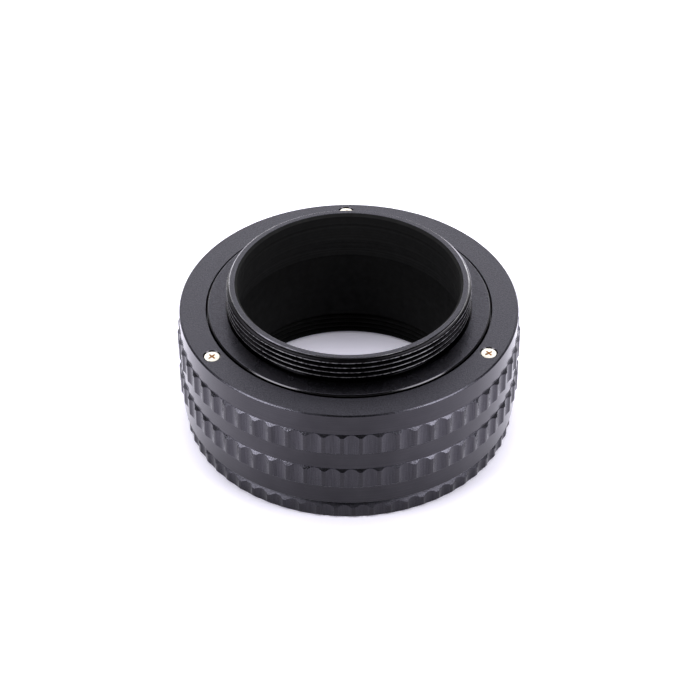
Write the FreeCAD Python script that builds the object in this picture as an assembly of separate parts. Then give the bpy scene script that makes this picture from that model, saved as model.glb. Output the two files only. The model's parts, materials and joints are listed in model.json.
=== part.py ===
import FreeCAD, Part
import math
import os

# A focusing helicoid adapter: a lens-side barrel that stands on its threaded face, a camera-side
# barrel that slides in it on guide keys, and a fluted focus grip that turns on the camera-side barrel.
# Millimetres. The optical axis is +Z, and Z = 0 is the lens-side face that the adapter stands on.
# Azimuths are in degrees from +X towards +Y.

# The thread that both ends share: outside on the camera-side nose, inside on the lens side
thread_radius = 21.0

# Lens-side barrel: the fluted base ring and the threaded hole in it
base_setback = 0.4
base_edge_break = 0.12
base_straight_height = 2.26
base_top_chamfer = 1.0
base_flute_depth = 0.4
base_flute_azimuth = 268.6
lens_thread_depth = 0.54
lens_thread_length = 4.26
lens_thread_entry_chamfer = 0.74

# Focus grip: heights of its smooth and fluted bands, from the bottom up
closed_gap = 0.74
lower_smooth_height = 3.55
lower_fluted_height = 4.2
middle_smooth_height = 3.23
upper_fluted_height = 4.32
upper_smooth_height = 4.0
grip_wall = 2.3
grip_edge_break = 0.12
land_height = 0.5
grip_flute_depth = 0.43
grip_flute_azimuth = 270.8
flute_count = 60
flute_cutter_radius = 2.1

# Camera-side barrel: threaded nose, seating flange, captive shoulder and guide tube
flange_width = 3.35
flange_rise = 0.3
flange_edge_chamfer = 0.2
flange_relief_margin = 0.15
flange_relief_depth = 0.1
camera_thread_length = 3.4
camera_thread_relief_depth = 0.8
camera_thread_relief_width = 0.8
nose_chamfer = 0.57
nose_rim_width = 0.82
nose_bore_chamfer = 0.46
bore_step_drops = (5.6, 1.3, 2.0)
bore_step_growth = 0.28
shoulder_overlap = 0.77
shoulder_thickness = 0.9
guide_tube_wall = 2.61

# Retaining plate and the shims that set the end play of the shoulder
plate_thickness = 1.5
plate_width = 4.22
plate_lip_width = 0.22
plate_seat_clearance = 0.13
plate_edge_chamfer = 0.12
plate_gap = 0.28
shim_thickness = 0.2
shim_radial_margin = 0.1
end_play = 0.05
ledge_thickness = 0.85

# Countersunk cross-head screws, for the plate and for the guide keys
plate_screw_inset = 2.2
plate_screw_azimuths = (91.1, 211.1, 331.1)
plate_screw_length = 3.0
plate_screw_head_radius = 1.27
key_screw_length = 3.2
key_screw_head_radius = 1.15
screw_shank_radius = 0.7
countersink_margin = 0.15
screw_head_edge = 0.06
screw_seat_clearance = 0.02
screw_hole_spare_depth = 0.3
cross_recess_length_share = 0.68
cross_recess_width = 0.34
cross_recess_depth = 0.42

# Guide keys on the guide tube, which slide in straight slots of the lens-side barrel
key_azimuths = (30.0, 150.0, 270.0)
key_length = 6.0
key_width = 3.4
key_thickness = 2.0
key_pocket_depth = 0.6
key_rise_above_tube_end = 0.2
key_screw_spacing = 3.2
key_side_clearance = 0.1
key_top_clearance = 0.3

# Stop pin in the grip, which runs in an arc groove under the captive shoulder
stop_pin_radius = 0.4
stop_pin_azimuth = 45.0
stop_pin_seat_depth = 0.65
stop_pin_rise = 0.55
stop_groove_depth = 0.45
focus_turn_degrees = 270.0

# Clearances between the parts that move on each other
guide_clearance = 0.15
helicoid_clearance = 0.3
turning_clearance = 0.3
tube_end_clearance = 0.3

# Heights that follow from the driving dimensions
base_height = base_straight_height + base_top_chamfer
lens_thread_top = lens_thread_entry_chamfer + lens_thread_length
grip_bottom = base_height + closed_gap
lower_fluted_bottom = grip_bottom + lower_smooth_height
lower_fluted_top = lower_fluted_bottom + lower_fluted_height
upper_fluted_bottom = lower_fluted_top + middle_smooth_height
upper_fluted_top = upper_fluted_bottom + upper_fluted_height
grip_top = upper_fluted_top + upper_smooth_height
plate_bottom = grip_top - plate_thickness
shoulder_top = plate_bottom - shim_thickness - end_play
shoulder_bottom = shoulder_top - shoulder_thickness
ledge_top = shoulder_bottom - end_play - shim_thickness
ledge_bottom = ledge_top - ledge_thickness
lens_tube_top = ledge_bottom - turning_clearance
guide_tube_bottom = lens_thread_top + tube_end_clearance
flange_top = grip_top + flange_rise
camera_thread_bottom = flange_top + camera_thread_relief_width
camera_thread_top = camera_thread_bottom + camera_thread_length
nose_top = camera_thread_top + nose_chamfer
key_bottom = guide_tube_bottom + key_rise_above_tube_end

# Radii inwards from the thread: nose, bore and guide tube with its keys
lens_thread_minor_radius = thread_radius - lens_thread_depth
camera_thread_relief_radius = thread_radius - camera_thread_relief_depth
nose_rim_radius = thread_radius - nose_chamfer
nose_rim_inner_radius = nose_rim_radius - nose_rim_width
nose_bore_radius = nose_rim_inner_radius - nose_bore_chamfer
tube_bore_radius = nose_bore_radius + bore_step_growth * len(bore_step_drops)
guide_tube_radius = tube_bore_radius + guide_tube_wall
guide_bore_radius = guide_tube_radius + guide_clearance
ledge_inner_radius = guide_tube_radius + turning_clearance
key_seat_distance = guide_tube_radius - key_pocket_depth
key_face_distance = key_seat_distance + key_thickness
key_slot_distance = key_face_distance + key_top_clearance

# Radii outwards from the thread: flange, shoulder, plate, grip, and the tube and base under the grip
flange_radius = thread_radius + flange_width
flange_relief_radius = thread_radius + flange_relief_margin
plate_inner_radius = flange_radius + plate_gap
shoulder_radius = plate_inner_radius + shoulder_overlap
shoulder_pocket_radius = shoulder_radius + turning_clearance
plate_screw_circle_radius = plate_inner_radius + plate_screw_inset
plate_radius = plate_inner_radius + plate_width
plate_recess_radius = plate_radius + plate_seat_clearance
grip_radius = plate_recess_radius + plate_lip_width
land_radius = grip_radius + land_height
grip_bore_radius = grip_radius - grip_wall
lens_tube_radius = grip_bore_radius - helicoid_clearance
base_radius = grip_radius - base_setback
stop_pin_circle_radius = shoulder_radius - stop_pin_radius
stop_groove_radius = stop_pin_circle_radius - stop_pin_radius - turning_clearance

Z_AXIS = FreeCAD.Vector(0, 0, 1)
ORIGIN = FreeCAD.Vector(0, 0, 0)


def turned(outline, degrees=360.0):
    """A solid of revolution about Z from (radius, height) points, starting in the XZ plane."""
    corners = [FreeCAD.Vector(radius, 0, height) for radius, height in outline]
    wire = Part.makePolygon(corners + corners[:1])
    return Part.Face(wire).revolve(ORIGIN, Z_AXIS, degrees)


def at_azimuth(shape, azimuth):
    """The shape turned about Z from the +X direction to an azimuth."""
    placed = shape.copy()
    placed.rotate(ORIGIN, Z_AXIS, azimuth)
    return placed


def upright_cylinder(radius, bottom, top, distance):
    """A cylinder parallel to Z, on the +X side at a distance from the axis."""
    return Part.makeCylinder(radius, top - bottom, FreeCAD.Vector(distance, 0, bottom), Z_AXIS)


def flutes(floor_radius, first_azimuth, bottom, top):
    """The scalloped cuts of one fluted band, as one compound."""
    cutter = upright_cylinder(flute_cutter_radius, bottom, top, floor_radius + flute_cutter_radius)
    pitch = 360.0 / flute_count
    return Part.makeCompound([at_azimuth(cutter, first_azimuth + pitch * i) for i in range(flute_count)])


def countersunk_screw(head_radius, length):
    """A cross-head screw along -Z with the plane of its countersink's mouth at Z = 0."""
    head_top = -countersink_margin
    cone_start = head_top - screw_head_edge
    cone_end = cone_start - (head_radius - screw_shank_radius)
    body = turned([
        (0, head_top - length), (screw_shank_radius, head_top - length),
        (screw_shank_radius, cone_end), (head_radius, cone_start),
        (head_radius, head_top), (0, head_top),
    ])
    recess_length = 2 * head_radius * cross_recess_length_share
    for length_x, length_y in ((recess_length, cross_recess_width), (cross_recess_width, recess_length)):
        corner = FreeCAD.Vector(-length_x / 2, -length_y / 2, head_top - cross_recess_depth)
        body = body.cut(Part.makeBox(length_x, length_y, 2 * cross_recess_depth, corner))
    return body


def screw_hole(head_radius, length):
    """The countersunk hole that the screw of the same sizes sits in, with room past its tip."""
    mouth = head_radius + countersink_margin + screw_head_edge + screw_seat_clearance
    shank = screw_shank_radius + screw_seat_clearance
    bottom = -countersink_margin - length - screw_hole_spare_depth
    return turned([(0, bottom), (shank, bottom), (shank, shank - mouth), (mouth, 0), (0, 0)])


def plate_screw_place(shape, azimuth):
    """Moves a screw or its hole to its place on the retaining plate."""
    placed = shape.copy()
    placed.translate(FreeCAD.Vector(plate_screw_circle_radius, 0, grip_top))
    return at_azimuth(placed, azimuth)


def key_screw_place(shape, azimuth, side):
    """Moves a screw or its hole to the outer face of a guide key; side is -1 or 1 along the key."""
    placed = shape.copy()
    placed.rotate(ORIGIN, FreeCAD.Vector(0, 1, 0), 90)
    height = key_bottom + key_length / 2 + side * key_screw_spacing / 2
    placed.translate(FreeCAD.Vector(key_face_distance, 0, height))
    return at_azimuth(placed, azimuth)


def radial_block(width, inner, outer, bottom, top):
    """A box on the +X side between two distances from the axis."""
    corner = FreeCAD.Vector(inner, -width / 2, bottom)
    return Part.makeBox(outer - inner, width, top - bottom, corner)


def lens_barrel():
    """Base ring, threaded hole and slotted helicoid tube, turned from one piece."""
    body = turned([
        (lens_thread_minor_radius + lens_thread_entry_chamfer, 0),
        (base_radius - base_edge_break, 0),
        (base_radius, base_edge_break),
        (base_radius, base_straight_height),
        (base_radius - base_top_chamfer, base_height),
        (lens_tube_radius, base_height),
        (lens_tube_radius, lens_tube_top),
        (guide_bore_radius, lens_tube_top),
        (guide_bore_radius, lens_thread_top),
        (lens_thread_minor_radius, lens_thread_top),
        (lens_thread_minor_radius, lens_thread_entry_chamfer),
    ])
    floor_radius = base_radius - base_flute_depth
    body = body.cut(flutes(floor_radius, base_flute_azimuth, 0, base_height))
    slot = radial_block(key_width + 2 * key_side_clearance, guide_bore_radius - key_thickness,
                        key_slot_distance, lens_thread_top, lens_tube_top)
    return body.cut(Part.makeCompound([at_azimuth(slot, azimuth) for azimuth in key_azimuths]))


def camera_barrel():
    """Threaded nose, flange, captive shoulder and guide tube, turned from one piece."""
    bore = [(nose_bore_radius, nose_top - nose_bore_chamfer)]
    for drop in bore_step_drops:
        radius, height = bore[-1]
        bore.append((radius, height - drop))
        bore.append((radius + bore_step_growth, height - drop))
    body = turned([
        (tube_bore_radius, guide_tube_bottom),
        (guide_tube_radius, guide_tube_bottom),
        (guide_tube_radius, shoulder_bottom),
        (shoulder_radius, shoulder_bottom),
        (shoulder_radius, shoulder_top),
        (flange_radius, shoulder_top),
        (flange_radius, flange_top - flange_edge_chamfer),
        (flange_radius - flange_edge_chamfer, flange_top),
        (flange_relief_radius, flange_top),
        (flange_relief_radius, flange_top - flange_relief_depth),
        (camera_thread_relief_radius, flange_top - flange_relief_depth),
        (camera_thread_relief_radius, camera_thread_bottom),
        (thread_radius, camera_thread_bottom),
        (thread_radius, camera_thread_top),
        (nose_rim_radius, nose_top),
        (nose_rim_inner_radius, nose_top),
    ] + bore)
    pin_half_angle = math.degrees((stop_pin_radius + turning_clearance) / stop_pin_circle_radius)
    groove = turned([
        (stop_groove_radius, shoulder_bottom),
        (shoulder_radius + turning_clearance, shoulder_bottom),
        (shoulder_radius + turning_clearance, shoulder_bottom + stop_groove_depth),
        (stop_groove_radius, shoulder_bottom + stop_groove_depth),
    ], focus_turn_degrees + 2 * pin_half_angle)
    body = body.cut(at_azimuth(groove, stop_pin_azimuth - pin_half_angle))
    pocket = radial_block(key_width + 2 * screw_seat_clearance, key_seat_distance, key_face_distance,
                          key_bottom - screw_seat_clearance, key_bottom + key_length + screw_seat_clearance)
    hole = screw_hole(key_screw_head_radius, key_screw_length)
    for azimuth in key_azimuths:
        body = body.cut(at_azimuth(pocket, azimuth))
        for side in (-1, 1):
            body = body.cut(key_screw_place(hole, azimuth, side))
    return body


def guide_key(azimuth):
    """One straight key, seated in its pocket on the guide tube."""
    body = at_azimuth(radial_block(key_width, key_seat_distance, key_face_distance,
                                   key_bottom, key_bottom + key_length), azimuth)
    hole = screw_hole(key_screw_head_radius, key_screw_length)
    for side in (-1, 1):
        body = body.cut(key_screw_place(hole, azimuth, side))
    return body


def raised_band(bottom, top):
    """Outline points of one raised band of the grip, chamfered at both ends."""
    return [
        (grip_radius, bottom), (land_radius, bottom + land_height),
        (land_radius, top - land_height), (grip_radius, top),
    ]


def focus_grip():
    """The fluted ring, with the helicoid bore, the shoulder's pocket and the plate's recess inside."""
    body = turned([
        (grip_bore_radius, grip_bottom),
        (grip_radius - grip_edge_break, grip_bottom),
        (grip_radius, grip_bottom + grip_edge_break),
    ] + raised_band(lower_fluted_bottom, lower_fluted_top)
      + raised_band(upper_fluted_bottom, upper_fluted_top) + [
        (grip_radius, grip_top - grip_edge_break),
        (grip_radius - grip_edge_break, grip_top),
        (plate_recess_radius, grip_top),
        (plate_recess_radius, plate_bottom),
        (shoulder_pocket_radius, plate_bottom),
        (shoulder_pocket_radius, ledge_top),
        (ledge_inner_radius, ledge_top),
        (ledge_inner_radius, ledge_bottom),
        (grip_bore_radius, ledge_bottom),
    ])
    floor_radius = land_radius - grip_flute_depth
    for bottom, top in ((lower_fluted_bottom, lower_fluted_top), (upper_fluted_bottom, upper_fluted_top)):
        body = body.cut(flutes(floor_radius, grip_flute_azimuth, bottom, top))
    hole = screw_hole(plate_screw_head_radius, plate_screw_length)
    for azimuth in plate_screw_azimuths:
        body = body.cut(plate_screw_place(hole, azimuth))
    pin_seat = upright_cylinder(stop_pin_radius, ledge_top - stop_pin_seat_depth, ledge_top,
                                stop_pin_circle_radius)
    return body.cut(at_azimuth(pin_seat, stop_pin_azimuth))


def retaining_plate():
    """The flat ring that holds the shoulder down in the grip."""
    body = turned([
        (plate_inner_radius, plate_bottom),
        (plate_radius, plate_bottom),
        (plate_radius, grip_top - plate_edge_chamfer),
        (plate_radius - plate_edge_chamfer, grip_top),
        (plate_inner_radius + plate_edge_chamfer, grip_top),
        (plate_inner_radius, grip_top - plate_edge_chamfer),
    ])
    hole = screw_hole(plate_screw_head_radius, plate_screw_length)
    for azimuth in plate_screw_azimuths:
        body = body.cut(plate_screw_place(hole, azimuth))
    return body


def flat_ring(inner, outer, bottom):
    """A shim washer."""
    top = bottom + shim_thickness
    return turned([(inner, bottom), (outer, bottom), (outer, top), (inner, top)])


def stop_pin():
    """The dowel that ends the grip's turn at both limits."""
    pin = upright_cylinder(stop_pin_radius, ledge_top - stop_pin_seat_depth, ledge_top + stop_pin_rise,
                           stop_pin_circle_radius)
    return at_azimuth(pin, stop_pin_azimuth)


def all_pieces():
    """Every piece of the adapter, by name."""
    pieces = {
        "lens_barrel": lens_barrel(),
        "camera_barrel": camera_barrel(),
        "focus_grip": focus_grip(),
        "retaining_plate": retaining_plate(),
        "lower_shim": flat_ring(ledge_inner_radius + shim_radial_margin,
                                stop_groove_radius, ledge_top),
        "upper_shim": flat_ring(plate_inner_radius + shim_radial_margin,
                                shoulder_radius, plate_bottom - shim_thickness),
        "stop_pin": stop_pin(),
    }
    plate_screw = countersunk_screw(plate_screw_head_radius, plate_screw_length)
    for number, azimuth in enumerate(plate_screw_azimuths, 1):
        pieces[f"plate_screw_{number}"] = plate_screw_place(plate_screw, azimuth)
    key_screw = countersunk_screw(key_screw_head_radius, key_screw_length)
    for number, azimuth in enumerate(key_azimuths, 1):
        pieces[f"guide_key_{number}"] = guide_key(azimuth)
        for end, side in (("lower", -1), ("upper", 1)):
            pieces[f"key_{number}_{end}_screw"] = key_screw_place(key_screw, azimuth, side)
    return pieces


os.makedirs("parts", exist_ok=True)
for name, shape in all_pieces().items():
    solid = shape.Solids[0]
    solid.exportStep(f"parts/{name}.step")
    print(f"{name}: {len(shape.Solids)} solid, valid {shape.isValid()}, volume {shape.Volume:.2f} mm3")
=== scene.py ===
import json
import math

import bmesh
import bpy
from mathutils import Matrix, Vector


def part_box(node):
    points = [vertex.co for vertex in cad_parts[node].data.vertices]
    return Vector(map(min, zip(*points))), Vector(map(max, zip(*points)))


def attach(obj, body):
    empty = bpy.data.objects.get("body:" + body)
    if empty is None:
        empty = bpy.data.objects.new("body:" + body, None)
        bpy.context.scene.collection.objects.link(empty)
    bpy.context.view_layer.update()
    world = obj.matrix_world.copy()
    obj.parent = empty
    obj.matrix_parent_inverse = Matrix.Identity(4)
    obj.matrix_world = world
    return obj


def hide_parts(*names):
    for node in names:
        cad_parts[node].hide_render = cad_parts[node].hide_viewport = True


# A focusing helicoid adapter: fluted grip, threaded camera-side barrel and lens-side barrel.
# Sizes are in millimetres until they become a mesh; azimuths are in degrees from +X towards +Y.

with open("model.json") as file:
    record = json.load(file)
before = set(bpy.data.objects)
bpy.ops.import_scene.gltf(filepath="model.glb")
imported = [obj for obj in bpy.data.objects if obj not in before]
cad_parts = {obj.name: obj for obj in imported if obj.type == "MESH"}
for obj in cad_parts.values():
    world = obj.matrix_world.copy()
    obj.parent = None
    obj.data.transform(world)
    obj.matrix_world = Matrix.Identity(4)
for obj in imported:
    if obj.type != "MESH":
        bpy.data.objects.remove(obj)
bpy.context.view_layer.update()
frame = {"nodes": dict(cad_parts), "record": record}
MM = 0.001


def turned_size(node):
    """Outer radius, bottom and top of a turned solid of the frame."""
    low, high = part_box(node)
    return high.x / MM, low.z / MM, high.z / MM


# Corner easing, and how finely round forms are divided
SMALL_EASE = 0.03
FINE_EASE = 0.05
EDGE_BREAK = 0.12
EASE_LIMIT = 0.4
EASE_STEPS = 3
EASE_SUPPORT = 1.2
TURNED_SEGMENTS = 288
SCREW_SEGMENTS = 64
ROD_SEGMENTS = 48
STOP_GROOVE_STEPS = 180
POLE_WELD = 1e-5
SHARP_ANGLE = math.radians(40)

# How far cutters reach past what they cut, and what tells faces apart
CUTTER_SPARE = 0.2
LONG_SPARE = 1.0
FACE_MARGIN = 0.01
SLOPE_LIMIT = 0.3
FLAT_LIMIT = 0.9

# Sizes read from the frame
base_radius, stand_height, lens_tube_top = turned_size("lens_barrel")
shoulder_radius, guide_tube_bottom, nose_top = turned_size("camera_barrel")
plate_radius, plate_bottom, plate_top = turned_size("retaining_plate")
grip_bottom = turned_size("focus_grip")[1]
key_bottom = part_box("guide_key_1")[0].z / MM
mounts = {mount["name"]: mount for mount in frame["record"]["mounts"]}
thread_radius = mounts["camera_thread"]["dims"]["r_mm"]
lens_thread_radius = mounts["lens_thread"]["dims"]["r_mm"]
lens_thread_middle = mounts["lens_thread"]["pos_m"][2] / MM
lens_thread_top = lens_thread_middle + mounts["lens_thread"]["dims"]["length_mm"] / 2

# Focus grip
TURNING_CLEARANCE = 0.3
SEAT_CLEARANCE = 0.13
LIP_WIDTH = 0.22
LIP_CHAMFER = 0.2
LAND_HEIGHT = 0.5
GRIP_FLUTE_DEPTH = 0.43
GRIP_FLUTE_AZIMUTH = 270.8
FLUTE_COUNT = 60
FLUTE_CUTTER_RADIUS = 2.1
FLUTE_EDGE_BLEND = 0.08
FLUTE_STEPS = (0.3, 0.56, 0.77, 0.91, 0.98, 1.03, 1.1)
FLUTE_MARGIN = 0.1
FLUTE_WELD = 0.002
LOWER_SMOOTH_HEIGHT = 3.55
LOWER_FLUTED_HEIGHT = 4.2
MIDDLE_SMOOTH_HEIGHT = 3.23
UPPER_FLUTED_HEIGHT = 4.32
GRIP_WALL = 2.3
LEDGE_BOTTOM = 19.55
LEDGE_TOP = 20.4
LEDGE_INNER_RADIUS = 22.9
recess_radius = plate_radius + SEAT_CLEARANCE
grip_radius = recess_radius + LIP_WIDTH
land_radius = grip_radius + LAND_HEIGHT
pocket_radius = shoulder_radius + TURNING_CLEARANCE
grip_bore_radius = grip_radius - GRIP_WALL
lower_band_bottom = grip_bottom + LOWER_SMOOTH_HEIGHT
lower_band_top = lower_band_bottom + LOWER_FLUTED_HEIGHT
upper_band_bottom = lower_band_top + MIDDLE_SMOOTH_HEIGHT
upper_band_top = upper_band_bottom + UPPER_FLUTED_HEIGHT
grip_bands = [(lower_band_bottom, lower_band_top), (upper_band_bottom, upper_band_top)]

# Lens-side barrel
BASE_STRAIGHT_HEIGHT = 2.26
BASE_CHAMFER = 1.0
BASE_FLUTE_DEPTH = 0.4
BASE_FLUTE_AZIMUTH = 268.6
BASE_INNER_STEP = 0.2
GUIDE_BORE_RADIUS = 22.75
TUBE_FOOT_HEIGHT = 1.5
LENS_PAINTED_SHADE_MARGIN = 0.15
LENS_PAINTED_SHADE_RISE = 0.1
HELICOID_CLEARANCE = 0.3
HELICOID_DEPTH = 0.6
HELICOID_LEAD = 16.0
HELICOID_CHAMFER = 0.5
KEY_SLOT_WIDTH = 3.6
KEY_SLOT_DISTANCE = 24.3
KEY_AZIMUTHS = (30.0, 150.0, 270.0)
KEY_WIDTH = 3.4
KEY_LENGTH = 6.0
KEY_FIT = 0.02
KEY_POCKET_DEPTH = 0.6
KEY_POCKET_REACH = 2.0
KEY_SCREW_SPACING = 3.2
KEY_SCREW_REACH = 1.65
base_height = BASE_STRAIGHT_HEIGHT + BASE_CHAMFER
base_foot_radius = base_radius - BASE_FLUTE_DEPTH - EDGE_BREAK
helicoid_radius = grip_bore_radius - HELICOID_CLEARANCE

# Camera-side barrel
THREAD_PITCH = 1.0
THREAD_DEPTH = 0.61
THREAD_RELIEF_DEPTH = 0.19
THREAD_RELIEF_HEIGHT = 0.8
THREAD_RELIEF_SLOPE = 0.2
FRONT_CREST_HEIGHT = 27.6
CRESTS_BELOW = 4
NOSE_CHAMFER = 0.57
NOSE_RIM_WIDTH = 0.82
NOSE_BORE_CHAMFER = 0.46
FLANGE_RADIUS = 24.35
FLANGE_RISE = 0.3
FLANGE_CHAMFER = 0.2
FLANGE_RELIEF_MARGIN = 0.15
FLANGE_RELIEF_DEPTH = 0.1
GUIDE_TUBE_RADIUS = 22.6
SHOULDER_BOTTOM = 20.65
SHOULDER_TOP = 21.55
BORE_STEP_DROPS = (5.6, 1.3, 2.0)
BORE_STEP_GROWTH = 0.28
BORE_PAINT_MARGIN = 0.1
STOP_PIN_RADIUS = 0.4
STOP_PIN_AZIMUTH = 45.0
STOP_PIN_SEAT_DEPTH = 0.65
STOP_GROOVE_DEPTH = 0.45
FOCUS_TURN = 270.0
flange_top = plate_top + FLANGE_RISE
stop_pin_circle_radius = shoulder_radius - STOP_PIN_RADIUS

# Thread ridges: Side is 1 on a shaft and -1 in a hole, and their roots sink a little into the wall
ROOT_SINK = 0.02
HELICOID_ROOT_SINK = 0.05
THREAD_END_GAP = 0.03
THREAD_FOOT_GAP = 0.15
HELICOID_END_GAP = 0.05
CAMERA_THREAD_FORM = {
    "Starts": 1, "First Turn": math.radians(-90), "Turns": 5.3, "Steps": 160, "Side": 1.0,
    "Root Width": 0.85, "Crest Width": 0.16, "Edge Radius": 0.07}
HELICOID_FORM = {
    "Starts": 8, "First Turn": 0.0, "Turns": 1.05, "Steps": 240, "Side": 1.0, "Start Height": 2.8,
    "Root Width": 1.3, "Crest Width": 0.6, "Edge Radius": 0.08, "Chamfer Bottom": -10.0, "Lowest": 2.6}
LENS_THREAD_FORM = {
    "Starts": 1, "First Turn": 0.0, "Turns": 5.6, "Steps": 160, "Side": -1.0, "Start Height": -0.3,
    "Root Width": 0.82, "Crest Width": 0.2, "Edge Radius": 0.05, "Chamfer Bottom": 0.74}
LENS_THREAD_END_CHAMFER = 0.2

# Retaining plate and its countersunk screws; a recess has half lengths and half widths
PLATE_INNER_RADIUS = 24.63
PLATE_SEAM = 0.04
SCREW_CIRCLE_RADIUS = 26.83
FIRST_SCREW_AZIMUTH = 91.1
SCREW_COUNT = 3
SCREW_HEAD_RADIUS = 1.27
SCREW_HEAD_RIM = 0.06
SCREW_CROWN = 0.05
SCREW_CROWN_SHOULDER = (0.55, 0.3)
SCREW_CROWN_EASE = 0.2
SCREW_SHANK_RADIUS = 0.7
SCREW_SHANK_FIT = 0.05
SCREW_LENGTH = 3.0
SCREW_SINK = 0.08
SCREW_HOLE_SPARE = 0.45
SCREW_TURN_SEED = 4
RECESS_MOUTH = (0.86, 0.18)
RECESS_FLOOR = (0.4, 0.15)
RECESS_DEPTH = 0.55
RECESS_SHADE_DEPTH = 0.08
RECESS_SHADE_SHARE = 0.7
COUNTERSINK_RADIUS = 1.5
COUNTERSINK_SPARE = 0.3
screw_turns = [math.radians(FIRST_SCREW_AZIMUTH + 360 * n / SCREW_COUNT) for n in range(SCREW_COUNT)]
screw_centres = [Vector((math.cos(turn), math.sin(turn), 0)) * SCREW_CIRCLE_RADIUS * MM
                 for turn in screw_turns]

# Thread marks and paint: how far rub marks and a painted highlight reach below crests and the nose's edge,
# and where the paint turns grey
CREST_RUB_AND_HIGHLIGHT = 0.06
EDGE_RUB_AND_HIGHLIGHT = (0.33, 0.15)
PAINT_GREYING = (18.9, 19.1)
NOISE_SPREAD = (0.3, 0.7)

# Floor and room: the floor's reach is in metres, and its lifts are near and far values; the shade reach sets
# painted shade near the part, and the pool values set painted pools of light left and right
FLOOR_REACH = 20.0
FLOOR_DROP = 0.02
FLOOR_LIFT = (0.65, 1.1)
FLOOR_FADE = (250.0, 1000.0)
FLOOR_SHADE_REACH = 7.0
PAINTED_POOL_REACH = (5.0, 36.0)
PAINTED_POOL_LIFT = (0.28, 0.95)
ROOM_LIGHT = 0.05
SWEEP_RISE = (9.0, 15.0)

# Softboxes: azimuth, elevation, distance, width and height in metres, and brightness of the face
SOFTBOXES = {
    "left_softbox": (208, 39.5, 0.7, 0.32, 0.3, 7.1),
    "right_softbox": (332, 39.5, 0.7, 0.32, 0.3, 7.1),
    "left_top_softbox": (135, 60, 0.7, 0.4, 0.4, 2.25),
    "right_top_softbox": (45, 60, 0.7, 0.4, 0.4, 2.25),
    "upper_backdrop": (90, 36, 0.8, 1.4, 0.28, 1.1),
    "lower_backdrop": (90, 19, 0.8, 1.4, 0.2, 3.75),
}

# Camera of the photograph
CAMERA_DISTANCE = 403.0
CAMERA_ELEVATION = 39.8
CAMERA_TARGET_HEIGHT = 12.96
CAMERA_LENS = 118.38
CAMERA_SHIFT = (0.0015, 0.0007)


def linear(code):
    """An sRGB hex colour as linear RGBA."""
    parts = [int(code[i:i + 2], 16) / 255 for i in (1, 3, 5)]
    return [c / 12.92 if c <= 0.04045 else ((c + 0.055) / 1.055) ** 2.4 for c in parts] + [1.0]


def feed(node, inputs):
    """Sets a node's inputs, by name or number, to values or to other nodes' output sockets."""
    for socket, value in inputs.items():
        if isinstance(value, bpy.types.NodeSocket):
            node.id_data.links.new(value, node.inputs[socket])
        else:
            node.inputs[socket].default_value = value
    return node


def add(tree, kind, inputs=None, **settings):
    """Adds a node with its settings and inputs."""
    made = tree.nodes.new(kind)
    for name, value in settings.items():
        setattr(made, name, value)
    return feed(made, inputs or {})


# Materials

def new_material(name):
    """A material with an empty node tree, and its principled shader."""
    material = bpy.data.materials.new(name)
    material.use_nodes = True
    tree = material.node_tree
    tree.nodes.clear()
    shader = add(tree, "ShaderNodeBsdfPrincipled")
    add(tree, "ShaderNodeOutputMaterial", {"Surface": shader.outputs[0]})
    return material, tree, shader


def mottled(tree, size_mm, low, high, detail=2.0):
    """A slow noise of a patch size, spread between two values."""
    place = add(tree, "ShaderNodeTexCoord").outputs["Object"]
    noise = add(tree, "ShaderNodeTexNoise", {"Vector": place, "Scale": 1 / (size_mm * MM), "Detail": detail})
    spread = add(tree, "ShaderNodeMapRange", {
        "Value": noise.outputs["Fac"], "From Min": NOISE_SPREAD[0], "From Max": NOISE_SPREAD[1],
        "To Min": low, "To Max": high})
    return spread.outputs["Result"]


def radius_and_height(tree):
    """Sockets for the distance from the optical axis and the height of a shaded point, in metres."""
    place = add(tree, "ShaderNodeTexCoord").outputs["Object"]
    split = add(tree, "ShaderNodeSeparateXYZ", {"Vector": place})
    across = add(tree, "ShaderNodeCombineXYZ", {"X": split.outputs["X"], "Y": split.outputs["Y"]})
    radius = add(tree, "ShaderNodeVectorMath", {0: across.outputs[0]}, operation="LENGTH")
    return radius.outputs["Value"], split.outputs["Z"]


def tool_rings(tree, spacing_mm):
    """A noise of the fine rings that a lathe tool leaves on faces and walls, from 0 to 1."""
    radius, height = radius_and_height(tree)
    travel = add(tree, "ShaderNodeMath", {0: radius, 1: height}, operation="ADD")
    rings = add(tree, "ShaderNodeTexNoise", {
        "W": travel.outputs[0], "Scale": 1 / (spacing_mm * MM), "Detail": 1.0}, noise_dimensions="1D")
    return rings.outputs["Fac"]


def blasted_black_anodised_aluminium(name, roughness):
    """Satin black: bead blasting leaves a sparkling pebbled grain, and the dyed oxide a lavender cast."""
    material, tree, shader = new_material(name)
    # Real bead marks are about 0.08 mm; they are drawn at 0.22 mm so that the grain shows.
    grain = mottled(tree, 0.22, 0.0, 1.0, detail=1.0)
    colour = add(tree, "ShaderNodeMix", {0: grain, 6: linear("#38373d"), 7: linear("#4b4a52")},
                 data_type="RGBA")
    bump = add(tree, "ShaderNodeBump", {"Height": grain, "Strength": 0.6, "Distance": 0.02 * MM})
    feed(shader, {"Base Color": colour.outputs[2], "Metallic": 1.0, "Normal": bump.outputs[0],
                  "Roughness": mottled(tree, 4.0, roughness, roughness + 0.04)})
    return material


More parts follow.
